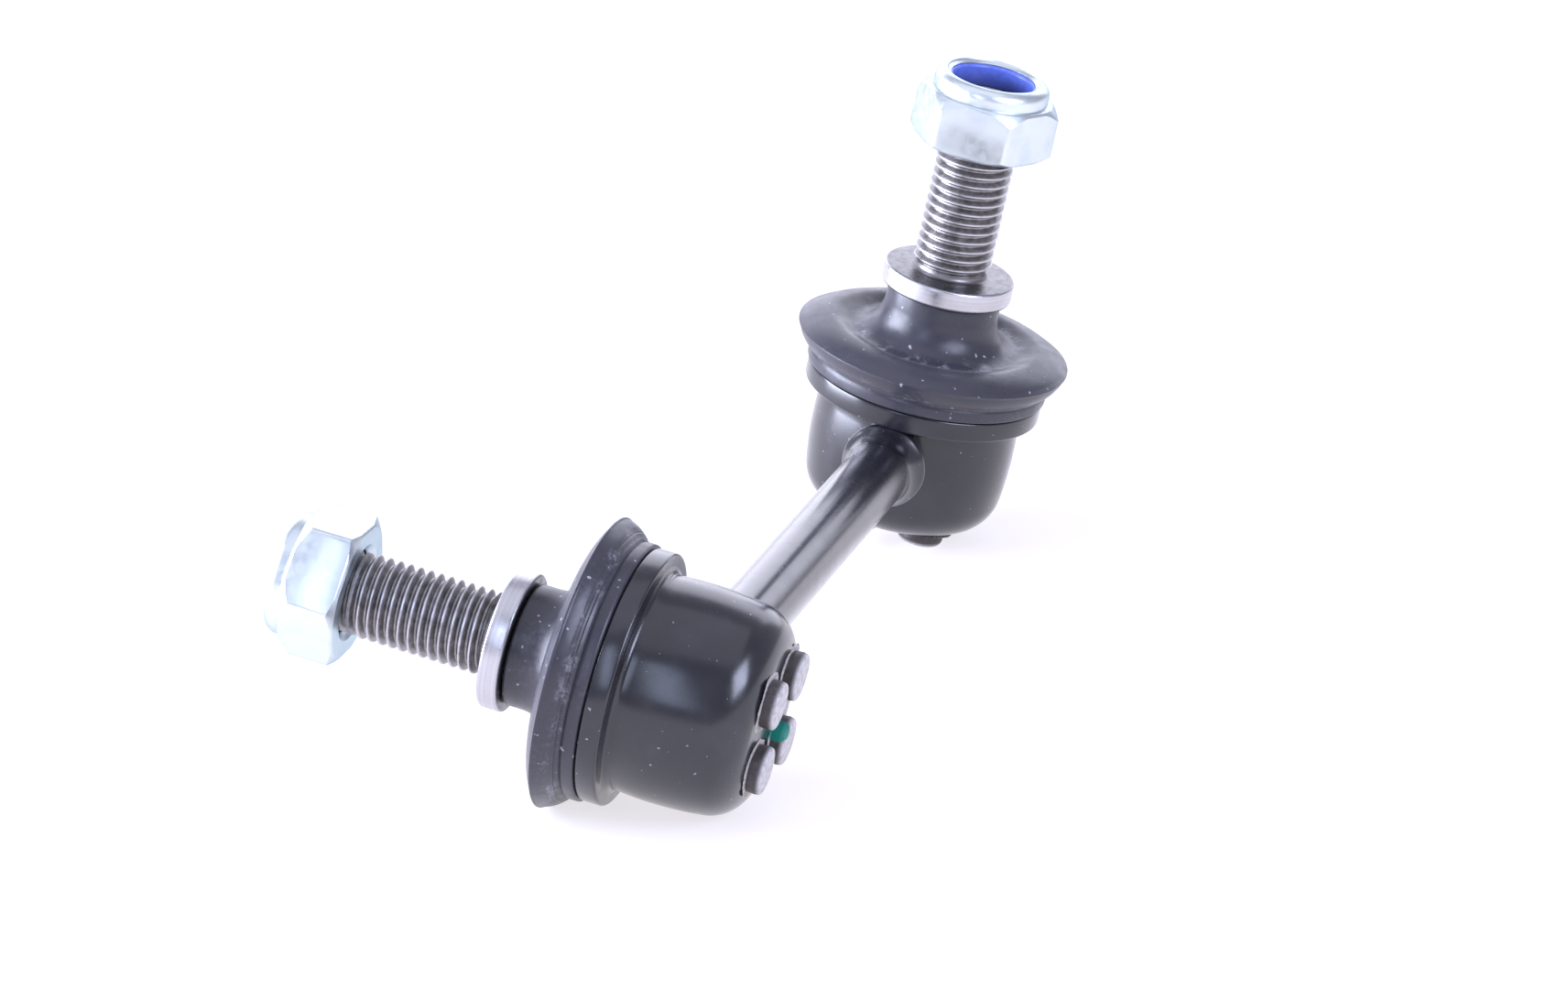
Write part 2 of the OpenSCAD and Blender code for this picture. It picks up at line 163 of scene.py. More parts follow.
class SeatSizes(bpy.types.PropertyGroup):
    radius: length("Seat radius", 10.55, "Outside radius of the plastic seat")
    socket: length("Socket radius", 7.55, "Radius of the socket round the ball")
    socket_rim: angle("Socket rim", 26.0, "Height angle at which the socket opens into its mouth")
    mouth: angle("Mouth angle", 24.5, "Slope of the mouth from the stud's axis")
    mouth_edge: length("Mouth edge", 0.2, "Rounding of the mouth's upper edge")
    top: length("Seat top", 6.2, "Height of the seat's rim")
    rim_edge: length("Rim edge", 0.3, "Rounding of the seat's rim")
    gap: length("Gap", 0.03, "Gap between the seat and the cup, and between a peg and its hole")
    pegs: IntProperty(name="Pegs", description="Number of staked pegs", default=4, min=3, max=6)
    peg_circle: length("Peg circle", 5.95, "Radius of the circle that the pegs stand on")
    peg_radius: length("Peg radius", 1.8, "Radius of a peg in its hole")
    peg_root: length("Peg root", 0.4, "How far a peg reaches into the seat")
    head_radius: length("Head radius", 2.9, "Radius of a peg's staked head")
    head_height: length("Head height", 1.9, "Height of a peg's staked head")
    head_edge: length("Head edge", 0.62, "Rounding of a staked head's edge")
    flash: length("Flash", 1.05, "How far the squeezed plastic spreads past a head")
    flash_t: length("Flash thickness", 0.8, "Thickness of that plastic before it is pressed flat")
    flash_ragged: length("Flash raggedness", 0.85, "How far its edge runs in and out")
    flash_flat: FloatProperty(name="Flash flatness", description="Share of its thickness that is left",
                              default=0.32, min=0.0, max=1.0, subtype="FACTOR")
    front_turn: angle("Front turn", 41.0, "Turn of the front pegs from the rod's line")
    rear_turn: angle("Rear turn", 50.0, "Turn of the rear pegs from the rod's line")


class StudSizes(bpy.types.PropertyGroup):
    ball: length("Ball radius", 7.5, "Radius of the ball")
    neck: length("Neck radius", 4.8, "Radius of the neck above the ball")
    taper_from: length("Taper start", 12.6, "Height at which the neck starts to widen")
    taper_blend: length("Taper blend", 1.0, "Radius at both ends of that widening")
    seat: length("Boot seat radius", 5.6, "Radius of the stud inside the boot's neck")
    seat_from: length("Boot seat start", 15.2, "Height at which that radius starts")
    collar: length("Collar radius", 8.3, "Radius of the collar")
    collar_z: length("Collar height", 19.8, "Height of the collar's underside")
    collar_t: length("Collar thickness", 2.6, "Thickness of the collar")
    collar_edge: length("Collar edge", 0.38, "Rounding of the collar's edges")
    undercut: length("Undercut radius", 4.45, "Radius of the undercut at the thread's foot")
    undercut_top: length("Undercut top", 23.4, "Height at which the thread starts to rise")
    foot: length("Foot fillet", 0.65, "Fillet between undercut and collar")
    thread: length("Thread radius", 5.0, "Outside radius of the thread")
    thread_root: length("Thread root", 4.25, "Radius at the bottom of the thread")
    pitch: length("Thread pitch", 1.25, "Rise of the thread in one turn")
    lead: length("Lead-in radius", 4.8, "Outside radius of the lead-in where the nut starts")
    lead_from: length("Lead-in start", 38.9, "Height at which the lead-in starts")
    end: length("Shank end", 45.5, "Height of the shank's end")
    end_chamfer: length("End chamfer", 0.8, "Chamfer at the shank's end")


class BootSizes(bpy.types.PropertyGroup):
    bead_in: length("Bead inside", 12.58, "Inside radius of the bead")
    bead_radius: length("Bead radius", 15.38, "Outside radius of the bead")
    bead_z: length("Bead height", 7.88, "Height of the bead's underside")
    bead_h: length("Bead thickness", 2.12, "Thickness of the bead")
    bead_edge: length("Bead edge", 0.35, "Rounding of the bead's lower edge")
    rim_radius: length("Rim radius", 17.28, "Radius of the widest edge")
    rim_z: length("Rim height", 12.3, "Height of the widest edge")
    lip: length("Mould lip", 0.16, "How far the mould's parting line stands out of the widest edge")
    crease_radius: length("Crease radius", 10.85, "Radius of the crease round the neck's flare")
    crease_z: length("Crease height", 13.7, "Height of that crease")
    bulge: length("Shoulder bulge", 0.8, "How far the rolled shoulder bulges between rim and crease")
    valley: length("Valley", 0.5, "How far the shoulder dips towards the crease")
    valley_width: length("Valley width", 2.6, "Width of that dip")
    under_bulge: length("Underside bulge", 0.35, "How far the underside bulges between bead and rim")
    fold: angle("Fold", 30.0, "Angle round the bead at which the underside folds out of it")
    groove: length("Groove", 0.16, "Depth of the moulded grooves above the fold")
    neck_radius: length("Neck radius", 7.25, "Outside radius of the boot's neck")
    neck_in: length("Neck inside", 5.8, "Inside radius of the boot's neck")
    neck_from: length("Neck start", 17.65, "Height at which the neck is straight")
    top: length("Boot top", 19.6, "Height of the boot's upper edge")
    top_edge: length("Top edge", 0.3, "Rounding of the neck's upper edge")
    wall: length("Wall", 1.5, "Thickness of the rubber")
    base_ring: FloatVectorProperty(
        name="Base ring groove", size=3, unit="LENGTH", default=(13.86 * MM, 8.37 * MM, 9.63 * MM),
        description="Radius, lower and upper edge of the groove for the steel ring in the bead")
    neck_ring: FloatVectorProperty(
        name="Neck ring groove", size=3, unit="LENGTH", default=(6.48 * MM, 17.995 * MM, 19.255 * MM),
        description="Radius, lower and upper edge of the groove for the ring in the neck")


class NutSizes(bpy.types.PropertyGroup):
    flats: length("Across flats", 16.0, "Width of the nut across its flats")
    hex_h: length("Hexagon height", 7.0, "Height of the hexagon")
    chamfer: angle("Chamfer", 30.0, "Chamfer angle of the hexagon's corners at the bearing face")
    top_chamfer: angle("Top chamfer", 50.0, "Chamfer angle of the hexagon's corners at the collar")
    corner: length("Corner rounding", 0.4, "Rounding of the hexagon's upright edges")
    foot_edge: length("Foot edge", 0.15, "Rounding where the lower chamfer starts")
    top_edge: length("Top edge", 0.5, "Rounding where the upper chamfer ends")
    edge: length("Edge", 0.1, "Width of the broken edges")
    collar_radius: length("Collar radius", 7.3, "Radius of the round collar")
    height: length("Nut height", 9.2, "Height of the nut with its collar")
    crimp: length("Crimp radius", 1.4, "Radius of the collar's crimped edge")
    crimp_t: length("Crimp thickness", 0.5, "Thickness of the crimped edge over the insert")
    opening: length("Opening radius", 5.9, "Radius of the crimped opening at its upper edge")
    lip: length("Lip radius", 5.35, "Radius of the crimped opening where it lies on the insert")
    bore: length("Bore radius", 5.05, "Radius of the nut's and the insert's bore")
    countersink: length("Countersink", 0.8, "Depth of the countersink at the bearing face")
    insert_radius: length("Insert radius", 6.5, "Outside radius of the nylon insert")
    insert_h: length("Insert height", 2.8, "Height of the nylon insert")
    insert_gap: length("Insert gap", 0.03, "Gap between the insert and its pocket")
    front_z: length("Front nut height", 40.2, "Height of the front nut's bearing face")
    rear_z: length("Rear nut height", 39.55, "Height of the rear nut's bearing face")
    front_turn: angle("Front turn", 0.0, "Turn of the front nut's corners from the rod's line")
    rear_turn: angle("Rear turn", 33.0, "Turn of the rear nut's corners from the rod's line")


class Colours(bpy.types.PropertyGroup):
    paint: colour("Paint", (0.008, 0.0085, 0.013), "Black paint of rod and housings")
    paint_worn: colour("Paint, thin", (0.017, 0.0175, 0.024), "Paint where it is thin or dusty")
    rubber: colour("Rubber", (0.034, 0.0335, 0.046), "Rubber of the boots")
    dust: colour("Dust", (0.34, 0.34, 0.38), "Talc and dust on the rubber")
    # Also painted on the thread's crests as a highlight.
    steel: colour("Steel", (0.62, 0.61, 0.64), "Machined steel of the collar's rim and the thread's crests")
    steel_dull: colour("Steel, dull", (0.245, 0.238, 0.25), "Forged steel of the collar's faces")
    # Painted shade: darkens the thread's flanks and grooves, and the collar's top round the thread's foot.
    steel_shade: colour("Steel, root", (0.23, 0.22, 0.22), "Oiled steel on the flanks of the thread")
    zinc: colour("Zinc", (0.775, 0.84, 0.855), "Bright zinc of the nuts")
    zinc_stain: colour("Zinc, stained", (0.69, 0.765, 0.81), "Passivated blue shade of the zinc")
    zinc_edge: colour("Zinc, edge", (0.5, 0.6, 0.65), "Tint of the zinc where it is seen at a flat angle")
    nylon: colour("Nylon", (0.14, 0.21, 0.76), "Blue nylon of the inserts")
    # Painted shade along with dirt: the darker colour of the heads' sides.
    plastic: colour("Seat plastic", (0.042, 0.035, 0.035), "Dark plastic on the sides of the staked heads")
    # Painted highlight: the paler colour of the heads' faces.
    plastic_lit_face: colour("Staked face", (0.56, 0.54, 0.545), "Paler plastic on the heads' faces")
    flash: colour("Flash", (0.46, 0.44, 0.42), "Whitish plastic that was squeezed out round the heads")
    mark: colour("Paint mark", (0.008, 0.20, 0.15), "Green inspection mark on one of the front heads")
    floor: colour("Floor", (0.31, 0.30, 0.315), "Studio floor")


class StageSettings(bpy.types.PropertyGroup):
    camera_place: FloatVectorProperty(
        name="Camera place", description="Camera in the link's own axes, from the rear ball centre", size=3,
        default=(-0.826379, -0.1576, 0.318586), subtype="TRANSLATION", unit="LENGTH")
    camera_turn: FloatVectorProperty(
        name="Camera turn", description="Turn of the camera in the link's own axes", size=3,
        default=(radians(68.0625), radians(-11.6154), radians(-73.5918)), subtype="EULER", unit="ROTATION")
    lens: FloatProperty(name="Lens", description="Focal length on a sensor 36 mm wide", default=162.42,
                        min=1.0, unit="CAMERA")
    sky: strength("Sky", 0.5, "Strength of the white surroundings")
    sky_tint: colour("Sky tint", (0.80, 0.82, 1.0), "Tint of the white surroundings")
    glow: strength("Floor glow", 0.74, "Strength of the floor's own glow")
    glow_tint: colour("Glow tint", (0.985, 0.955, 1.0), "Tint of the floor's own glow")
    front: power("Front light", 0.55, "Power of the tall soft box in front")
    back: power("Back light", 8.0, "Power of the wide soft box behind")
    top: power("Top light", 2.0, "Power of the soft box above")
    side: power("Side light", 10.5, "Power of the soft box on the left")
    right: power("Right light", 3.5, "Power of the soft box in front on the right")


class LinkSettings(bpy.types.PropertyGroup):
    rod: PointerProperty(name="Rod", description="Sizes of the rod", type=RodSizes)
    housing: PointerProperty(name="Housing", description="Sizes of the housings", type=HousingSizes)
    seat: PointerProperty(name="Seat", description="Sizes of the ball seats", type=SeatSizes)
    stud: PointerProperty(name="Stud", description="Sizes of the ball studs", type=StudSizes)
    boot: PointerProperty(name="Boot", description="Sizes of the dust boots", type=BootSizes)
    nut: PointerProperty(name="Nut", description="Sizes of the lock nuts", type=NutSizes)
    colours: PointerProperty(name="Colours", description="Colours of the finishes", type=Colours)
    stage: PointerProperty(name="Stage", description="Camera and light", type=StageSettings)


# Outlines, as (radius, height) points about the stud's axis

def arc(centre, radii, start, stop, steps=10):
    """Points on an arc, or on an ellipse where the two radii differ; angles in radians."""
    turns = (start + (stop - start) * i / steps for i in range(steps + 1))
    return [(centre[0] + radii[0] * cos(a), centre[1] + radii[1] * sin(a)) for a in turns]


def bulged(start, stop, bulge, steps=20):
    """Points on the arc from start to stop that stands out by bulge on the right of the way there."""
    run = (Vector(stop) - Vector(start)) / 2
    radius = (run.length_squared + bulge * bulge) / (2 * bulge)
    out = Vector((run.y, -run.x)).normalized()
    centre = (Vector(start) + Vector(stop)) / 2 + (bulge - radius) * out
    first, last = (atan2(p[1] - centre.y, p[0] - centre.x) for p in (start, stop))
    return arc(centre, (radius, radius), first, last, steps), centre, radius, (first, last)


def rounded(corners, steps=5):
    """Points of an outline, with an arc at each corner that names a radius as its third number."""
    points = []
    for i, corner in enumerate(corners):
        here = Vector(corner[:2])
        if len(corner) == 2 or i in (0, len(corners) - 1):
            points.append(tuple(here))
            continue
        back, ahead = ((Vector(corners[i + way][:2]) - here).normalized() for way in (-1, 1))
        half = back.angle(ahead) / 2
        centre = here + (back + ahead).normalized() * corner[2] / sin(half)
        first = here + back * corner[2] / tan(half) - centre
        last = here + ahead * corner[2] / tan(half) - centre
        begin = atan2(first.y, first.x)
        sweep = (atan2(last.y, last.x) - begin + pi) % (2 * pi) - pi
        points += arc(centre, (corner[2], corner[2]), begin, begin + sweep, steps)
    return points


# Modelling steps

def clear_selection():
    if bpy.context.object and bpy.context.object.mode != "OBJECT":
        bpy.ops.object.mode_set(mode="OBJECT")
    bpy.ops.object.select_all(action="DESELECT")


def pick(*pieces):
    """Select these objects alone; the first is the active one."""
    clear_selection()
    for piece in pieces:
        piece.select_set(True)
    bpy.context.view_layer.objects.active = pieces[0]
    return pieces[0]


def drawn(name, points):
    """Start a piece as one vertex, and extrude it in edit mode along an outline in the XZ plane."""
    clear_selection()
    bpy.ops.mesh.primitive_plane_add(size=MM)
    piece = bpy.context.object
    piece.name = piece.data.name = name
    bpy.ops.object.mode_set(mode="EDIT")
    bpy.ops.mesh.merge(type="CENTER")
    bpy.ops.transform.translate(value=(points[0][0], 0.0, points[0][1]))
    for start, stop in zip(points, points[1:]):
        step = (stop[0] - start[0], 0.0, stop[1] - start[1])
        bpy.ops.mesh.extrude_vertices_move(TRANSFORM_OT_translate={"value": step})
    return piece


def closed_up():
    """Merge the seam and the poles of the mesh in edit mode, and turn its faces outwards."""
    bpy.ops.mesh.select_all(action="SELECT")
    bpy.ops.mesh.remove_doubles(threshold=0.0005 * MM)
    bpy.ops.mesh.normals_make_consistent(inside=False)
    bpy.ops.object.mode_set(mode="OBJECT")


def turned(name, points, steps=128):
    """A piece turned on the z axis: its outline is drawn and spun a full turn."""
    piece = drawn(name, points)
    bpy.ops.mesh.select_all(action="SELECT")
    bpy.ops.mesh.spin(steps=steps, angle=2 * pi, center=(0, 0, 0), axis=(0, 0, 1))
    closed_up()
    return piece


def modified(piece, kind, **settings):
    """Add a modifier with these settings and apply it."""
    pick(piece)
    bpy.ops.object.modifier_add(type=kind)
    modifier = piece.modifiers[-1]
    for name, value in settings.items():
        setattr(modifier, name, value)
    bpy.ops.object.modifier_apply(modifier=modifier.name)
    return piece


def combined(piece, tool, operation):
    """Cut, unite or intersect a piece with a tool, which is used up."""
    modified(piece, "BOOLEAN", operation=operation, solver="EXACT", object=tool)
    pick(tool)
    bpy.ops.object.delete()
    return piece


def joined(first, *others):
    pick(first, *others)
    bpy.ops.object.join()
    return first


def copied(piece, name):
    """A copy of a piece with a mesh of its own."""
    pick(piece)
    bpy.ops.object.duplicate()
    copy = bpy.context.object
    copy.name = copy.data.name = name
    return copy


def settled(piece, place, turn=0.0, height=0.0):
    """Turn a piece about z, raise it, put it in a place, and leave the object at the origin."""
    pick(piece)
    piece.matrix_world = place @ Matrix.Translation((0, 0, height)) @ Matrix.Rotation(turn, 4, "Z")
    bpy.ops.object.transform_apply(location=True, rotation=True, scale=True)
    return piece


def smooth(piece, degrees):
    pick(piece)
    bpy.ops.object.shade_smooth_by_angle(angle=radians(degrees))
    return piece


def round_the_axis(piece, count, radius):
    """Copies of a piece at equal angles on a circle round the z axis, as separate objects."""
    copies = []
    for i in range(count):
        copy = copied(piece, f"{piece.name}_{i}")
        settled(copy, Matrix.Rotation(2 * pi * i / count, 4, "Z") @ Matrix.Translation((radius, 0, 0)))
        copies.append(copy)
    pick(piece)
    bpy.ops.object.delete()
    return copies


def fitted(piece, node, body=None):
    """Hide the CAD node that a piece stands for, and tie the piece to the body that it moves with, if one is
    given.
    """
    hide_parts(node)
    if body:
        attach(piece, body)
    return piece


# Finishes

class Finish:
    """A material whose patterns are drawn in millimetres about one piece's own axis."""

    def __init__(self, name, place):
        self.material = bpy.data.materials.new(name)
        self.material.use_nodes = True
        self.tree = self.material.node_tree
        self.surface = self.tree.nodes["Principled BSDF"]
        coordinates = self.node("ShaderNodeTexCoord")
        centred = self.node("ShaderNodeMapping", {
            "Vector": coordinates.outputs["Object"], "Location": place.translation,
            "Rotation": place.to_euler(), "Scale": (MM, MM, MM)}, vector_type="TEXTURE")
        self.where = centred.outputs["Vector"]
        parts = self.node("ShaderNodeSeparateXYZ", {"Vector": self.where})
        self.height = parts.outputs["Z"]
        across = self.node("ShaderNodeCombineXYZ", {"X": parts.outputs["X"], "Y": parts.outputs["Y"]})
        from_axis = self.node("ShaderNodeVectorMath", {0: across.outputs[0]}, operation="LENGTH")
        self.radius = from_axis.outputs["Value"]

    def node(self, kind, sockets=None, **settings):
        made = self.tree.nodes.new(kind)
        for name, value in settings.items():
            setattr(made, name, value)
        for key, value in (sockets or {}).items():
            if isinstance(value, bpy.types.NodeSocket):
                self.tree.links.new(value, made.inputs[key])
            else:
                made.inputs[key].default_value = value
        return made

    def noise(self, scale, detail=3.0, roughness=0.55, where=None):
        sockets = {"Vector": where or self.where, "Scale": scale, "Detail": detail, "Roughness": roughness}
        return self.node("ShaderNodeTexNoise", sockets).outputs["Fac"]

    def turned_lines(self, scale):
        """Noise that runs round the axis, as a lathe's tool leaves it."""
        flat = self.node("ShaderNodeCombineXYZ", {"X": self.radius, "Y": self.height}).outputs[0]
        return self.noise(scale, 2.0, 0.6, flat)

    def band(self, value, low, high, to_low=0.0, to_high=1.0):
        """A value that runs smoothly from to_low to to_high as another goes from low to high."""
        sockets = {"Value": value, "From Min": low, "From Max": high, "To Min": to_low, "To Max": to_high}
        return self.node("ShaderNodeMapRange", sockets, interpolation_type="SMOOTHSTEP").outputs["Result"]

    def math(self, operation, first, second):
        return self.node("ShaderNodeMath", {0: first, 1: second}, operation=operation).outputs[0]

    def near(self, point, reach):
        """1 at a point in millimetres, falling to 0 within reach of it."""
        far = self.node("ShaderNodeVectorMath", {0: self.where, 1: point}, operation="DISTANCE")
        return self.band(far.outputs["Value"], reach * 0.8, reach, 1.0, 0.0)

    def mix(self, amount, first, second):
        """A colour or pattern that goes from the first to the second as amount goes from 0 to 1."""
        ends = [end if isinstance(end, bpy.types.NodeSocket) else (*end, 1.0) for end in (first, second)]
        return self.node("ShaderNodeMix", {0: amount, 6: ends[0], 7: ends[1]}, data_type="RGBA").outputs[2]

    def relief(self, *layers):
        """Bump from (pattern, depth in millimetres, strength) layers, on top of each other."""
        normal = None
        for pattern, depth, strength in layers:
            sockets = {"Height": pattern, "Distance": depth * MM, "Strength": strength}
            if normal:
                sockets["Normal"] = normal
            normal = self.node("ShaderNodeBump", sockets).outputs["Normal"]
        self.set({"Normal": normal})

    def set(self, sockets):
        for key, value in sockets.items():
            if isinstance(value, bpy.types.NodeSocket):
                self.tree.links.new(value, self.surface.inputs[key])
            elif key in ("Base Color", "Emission Color", "Specular Tint"):
                self.surface.inputs[key].default_value = (*value, 1.0)
            else:
                self.surface.inputs[key].default_value = value


def paint_finish(name, place, colours, gloss=0.6):
    """Satin-gloss black paint with orange peel, thin patches and a few specks of dust."""
    f = Finish(name, place)
    patches = f.band(f.noise(0.16, 4.0), 0.45, 0.75)
    specks = f.band(f.noise(1.5, 2.0, 0.4), 0.735, 0.775)
    worn = f.mix(patches, colours.paint, colours.paint_worn)
    f.set({
        "Base Color": f.mix(f.math("MULTIPLY", specks, 0.7), worn, colours.dust),
        "Roughness": f.band(f.noise(0.35, 4.0), 0.3, 0.75, 0.2, 0.3),
        "Coat Weight": gloss, "Coat Roughness": 0.2,
    })
    f.relief((f.noise(0.6, 2.0, 0.4), 0.02, 0.05), (f.noise(4.0, 2.0), 0.003, 0.04))
    return f.material


def rubber_finish(name, place, colours, boot):
    """Black moulded rubber with a dull sheen, flow marks, talc in the folds and rubbed dust."""
    f = Finish(name, place)
    crease = boot.crease_radius / MM
    rise = (boot.crease_z - boot.valley) / MM
    at_crease = f.math("MULTIPLY", f.band(f.radius, crease - 2.2, crease - 0.3),
                       f.band(f.radius, crease + 0.2, crease + 1.9, 1.0, 0.0))
    at_crease = f.math("MULTIPLY", at_crease, f.band(f.height, rise - 0.6, rise - 0.05))
    in_folds = f.math("MULTIPLY", f.band(f.height, 9.3, 10.0), f.band(f.height, 10.4, 11.4, 1.0, 0.0))
    clumps = f.band(f.noise(0.3, 5.0, 0.65), 0.48, 0.66)
    crumbs = f.band(f.noise(1.6, 4.0, 0.7), 0.4, 0.7)
    smear = f.math("MULTIPLY", f.band(f.noise(0.11, 4.0, 0.6), 0.48, 0.76), crumbs)
    talc = f.math("MULTIPLY", at_crease, clumps)
    in_folds = f.math("MULTIPLY", in_folds, f.math("MULTIPLY", clumps, crumbs))
    talc = f.math("ADD", talc, f.math("MULTIPLY", in_folds, 0.8))
    specks = f.band(f.noise(1.25, 1.0, 0.3), 0.745, 0.775)
    dusty = f.math("ADD", f.math("MULTIPLY", talc, 0.8), f.math("MULTIPLY", smear, 0.16))
    dusty = f.math("MINIMUM", f.math("ADD", dusty, f.math("MULTIPLY", specks, 0.9)), 1.0)
    f.set({
        "Base Color": f.mix(dusty, colours.rubber, colours.dust),
        "Roughness": f.math("ADD", f.band(f.noise(0.5, 4.0), 0.3, 0.7, 0.27, 0.38),
                            f.math("MULTIPLY", dusty, 0.3)),
        "Specular IOR Level": 0.55,
        "Sheen Weight": 0.06, "Sheen Roughness": 0.5,
    })
    f.relief((f.noise(0.7, 4.0), 0.05, 0.25), (f.noise(5.0, 3.0, 0.6), 0.015, 0.25), (talc, 0.05, 0.4))
    return f.material


def steel_finish(name, place, colours, stud):
    """Turned steel: bright collar rim, dull forged faces, thread crests painted bright as a highlight,
    thread flanks painted dark as shade, and painted shadow of the shank on the collar round the thread's
    foot.
    """
    f = Finish(name, place)
    lines = f.turned_lines(3.5)
    mottle = f.noise(1.1, 5.0, 0.65)
    on_shank = f.band(f.height, stud.undercut_top / MM - 0.6, stud.undercut_top / MM)
    # Painted highlight: the thread's crests are coloured bright steel.
    crest = f.band(f.radius, stud.thread / MM - 0.22, stud.thread / MM - 0.06)
    on_rim = f.band(f.radius, stud.collar / MM - 0.3, stud.collar / MM - 0.05)
    # Painted shadow of the shank: the collar's top darkens towards the thread's foot.
    shank_shadow = f.band(f.radius, stud.undercut / MM + 0.5, stud.undercut / MM + 2.3, 1.0, 0.0)
    # Painted shade: the thread's flanks and grooves are coloured dark, with a random mottle.
    shaded_flanks = f.mix(f.band(mottle, 0.35, 0.7), colours.steel_shade, colours.steel_shade * 1.7)
    bright = f.mix(f.band(lines, 0.35, 0.75), colours.steel, colours.steel * 0.82)
    dull = f.mix(f.band(mottle, 0.35, 0.7), colours.steel_dull, colours.steel_dull * 0.75)
    dull = f.mix(f.math("MULTIPLY", shank_shadow, 0.8), dull, colours.steel_shade)
    thread = f.mix(f.math("MULTIPLY", crest, f.band(mottle, 0.25, 0.55, 0.5, 1.0)), shaded_flanks, bright)
    collar = f.mix(on_rim, dull, bright)
    f.set({
        "Base Color": f.mix(on_shank, collar, thread),
        "Metallic": 1.0,
        "Roughness": f.math("ADD", f.band(mottle, 0.3, 0.7, 0.26, 0.38),
                            f.band(crest, 0.0, 1.0, 0.08, 0.0)),
    })
    f.relief((lines, 0.015, 0.2), (mottle, 0.015, 0.15))
    return f.material


def zinc_finish(name, place, colours):
    """Bright zinc plating with a faint blue passivation and a soft grain."""
    f = Finish(name, place)
    cloud = f.noise(0.28, 4.0, 0.6)
    grain = f.noise(0.9, 3.0, 0.5)
    f.set({
        "Base Color": f.mix(f.band(cloud, 0.4, 0.75), colours.zinc, colours.zinc_stain),
        "Metallic": 1.0,
        "Specular Tint": colours.zinc_edge,
        "Roughness": f.band(grain, 0.3, 0.7, 0.29, 0.36),
    })
    f.relief((grain, 0.02, 0.08))
    return f.material


def nylon_finish(name, place, colours, nut, height):
    """Moulded blue nylon, slightly translucent, with painted shade that darkens it down the bore."""
    f = Finish(name, place)
    grain = f.noise(1.4, 4.0)
    top = (height + nut.height - nut.crimp_t) / MM
    # Painted shade: the insert darkens down its bore.
    bore_shade = f.band(f.height, top - 2.6, top - 0.3, 1.0, 0.0)
    blue = f.mix(f.band(grain, 0.35, 0.7), colours.nylon, colours.nylon * 0.8)
    f.set({
        "Base Color": f.mix(bore_shade, blue, colours.nylon * 0.4),
        "Roughness": f.band(grain, 0.3, 0.7, 0.28, 0.42),
        "Subsurface Weight": 0.12, "Subsurface Radius": (0.0004, 0.0006, 0.0012),
    })
    f.relief((f.noise(5.0), 0.01, 0.25))
    return f.material


def plastic_finish(name, place, colours, seat, housing, mark=None):
    """Staked seat plastic: sides painted dark as shade along with dirt, faces painted pale as a highlight,
    and a paint mark on one front head.
    """
    f = Finish(name, place)
    bottom = (housing.cup_bottom - seat.head_height) / MM
    # Painted highlight on the heads' faces and painted shade with dirt on their sides.
    face = f.band(f.height, bottom + 0.1, bottom + 0.75, 1.0, 0.0)
    smears = f.noise(1.3, 5.0, 0.7)
    sides = f.mix(f.band(smears, 0.4, 0.7), colours.plastic, colours.plastic * 1.8)
    pressed = f.mix(f.band(smears, 0.35, 0.7), colours.plastic_lit_face, colours.plastic_lit_face * 0.62)
    colour_here = f.mix(face, sides, pressed)
    if mark:
        patch = f.math("MULTIPLY", f.near(mark, 1.55), f.band(smears, 0.3, 0.42))
        colour_here = f.mix(patch, colour_here, colours.mark)
    f.set({"Base Color": colour_here, "Roughness": f.band(smears, 0.3, 0.7, 0.38, 0.6)})
    f.relief((smears, 0.05, 0.35), (f.noise(5.0), 0.02, 0.3))
    return f.material


def flash_finish(name, place, colours, mark=None):
    """Whitish squeezed-out plastic with dirt in it."""
    f = Finish(name, place)
    dirt = f.noise(2.2, 5.0, 0.7)
    colour_here = f.mix(f.band(dirt, 0.45, 0.7), colours.flash, colours.flash * 0.3)
    if mark:
        colour_here = f.mix(f.near(mark, 1.7), colour_here, colours.mark)
    f.set({"Base Color": colour_here, "Roughness": f.band(dirt, 0.3, 0.7, 0.5, 0.8)})
    f.relief((dirt, 0.06, 0.5))
    return f.material


def ring_finish(name, place, colours):
    """Plain drawn steel of the rings in the boots."""
    f = Finish(name, place)
    lines = f.turned_lines(5.0)
    f.set({
        "Base Color": f.mix(f.band(lines, 0.35, 0.7), colours.steel, colours.steel_dull),
        "Metallic": 1.0, "Roughness": f.band(lines, 0.3, 0.7, 0.3, 0.45),
    })
    f.relief((lines, 0.01, 0.3))
    return f.material


# Pieces

def cup_corners(h, grow=0.0):
    """Outside of the cup from its floor to its mouth, grown by a gap; the wall is slightly barrelled."""
    inset = h.barrel / 2
    corner_z = h.cup_bottom + h.corner * sin(h.corner_sweep)
    corner_x = h.cup_radius - (h.flange_z - corner_z) * tan(h.draft) - h.corner - inset
    wall_top = h.flange_z - h.flange_fillet
    lean = h.draft + 2 * atan2(2 * h.barrel, wall_top - corner_z)
    flange_top = h.flange_z + h.flange_t
    fillet = h.flange_fillet - grow
    corner = arc((corner_x, corner_z), (h.corner + grow,) * 2, -h.corner_sweep, -lean, 20)
    under_flange = arc((h.cup_radius + h.flange_fillet, wall_top), (fillet + inset, fillet), pi, pi / 2, 8)
    wall = bulged(corner[-1], under_flange[0], h.barrel, 12)[0]
    return (
        [(0.0, h.cup_bottom - grow)] + corner + wall[1:-1] + under_flange
        + [(h.flange_radius + grow, h.flange_z - grow, h.edge),
           (h.flange_radius + grow, flange_top, h.edge),
           (h.mouth_radius + grow, flange_top), (h.mouth_radius + grow, h.mouth_top, h.edge)]
    )


